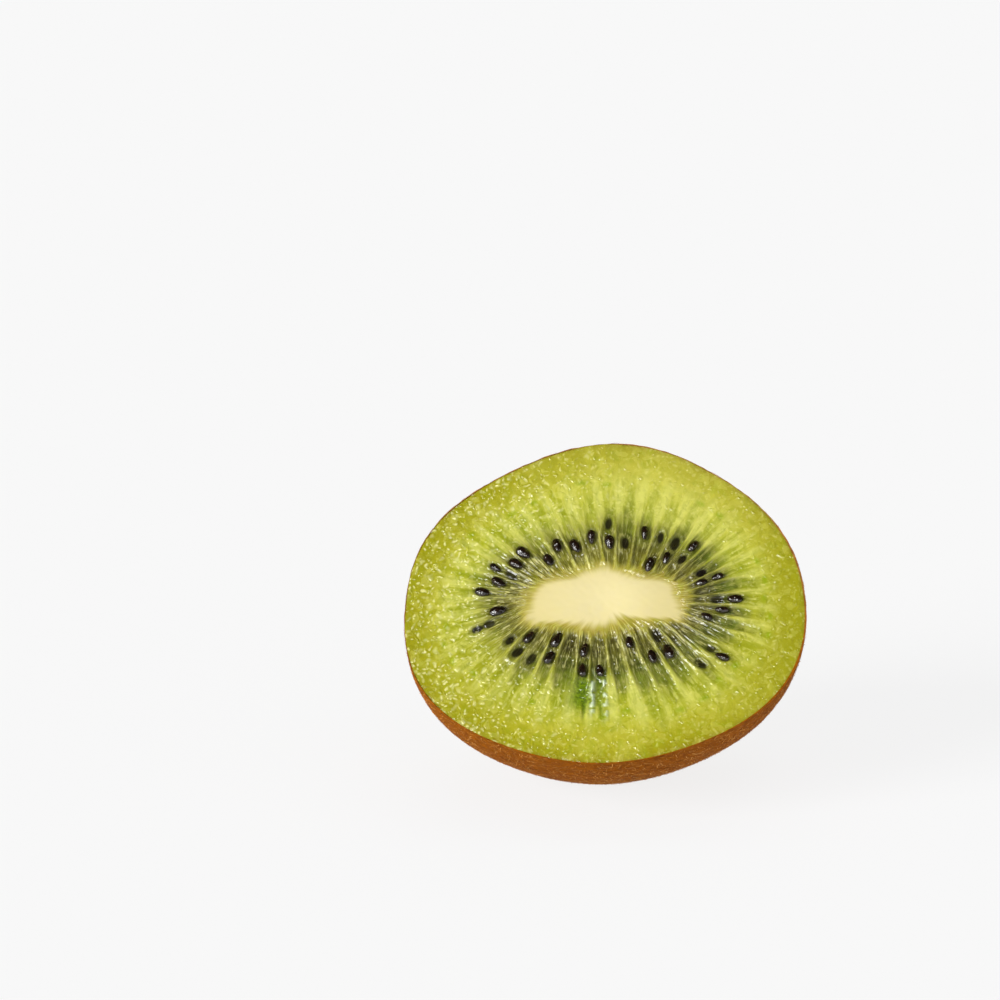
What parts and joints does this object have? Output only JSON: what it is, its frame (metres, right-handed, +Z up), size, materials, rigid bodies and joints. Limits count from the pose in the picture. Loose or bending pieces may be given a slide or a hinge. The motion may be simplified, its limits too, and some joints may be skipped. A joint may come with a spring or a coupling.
{
  "type": "kiwi half",
  "caption": "Half of a green kiwi, cut crosswise: a wet cut face with a pale core, radial seed chambers and dark seeds, over a rounded brown furry back it lies on.",
  "frame": {"origin": "on the floor, under the middle of the half as it lies", "axes": "+X across the cut face to its right, +Y to the back, away from where the cut face looks, +Z up"},
  "size_m": [0.0522, 0.0426, 0.0435],
  "materials": {
    "flesh": "wet, translucent",
    "core": "moist, soft",
    "skin": "dry, furry",
    "seed": "wet, glossy"
  },
  "bodies": {
    "root": {"flesh": "flesh", "core": "core"}
  },
  "joints": []
}
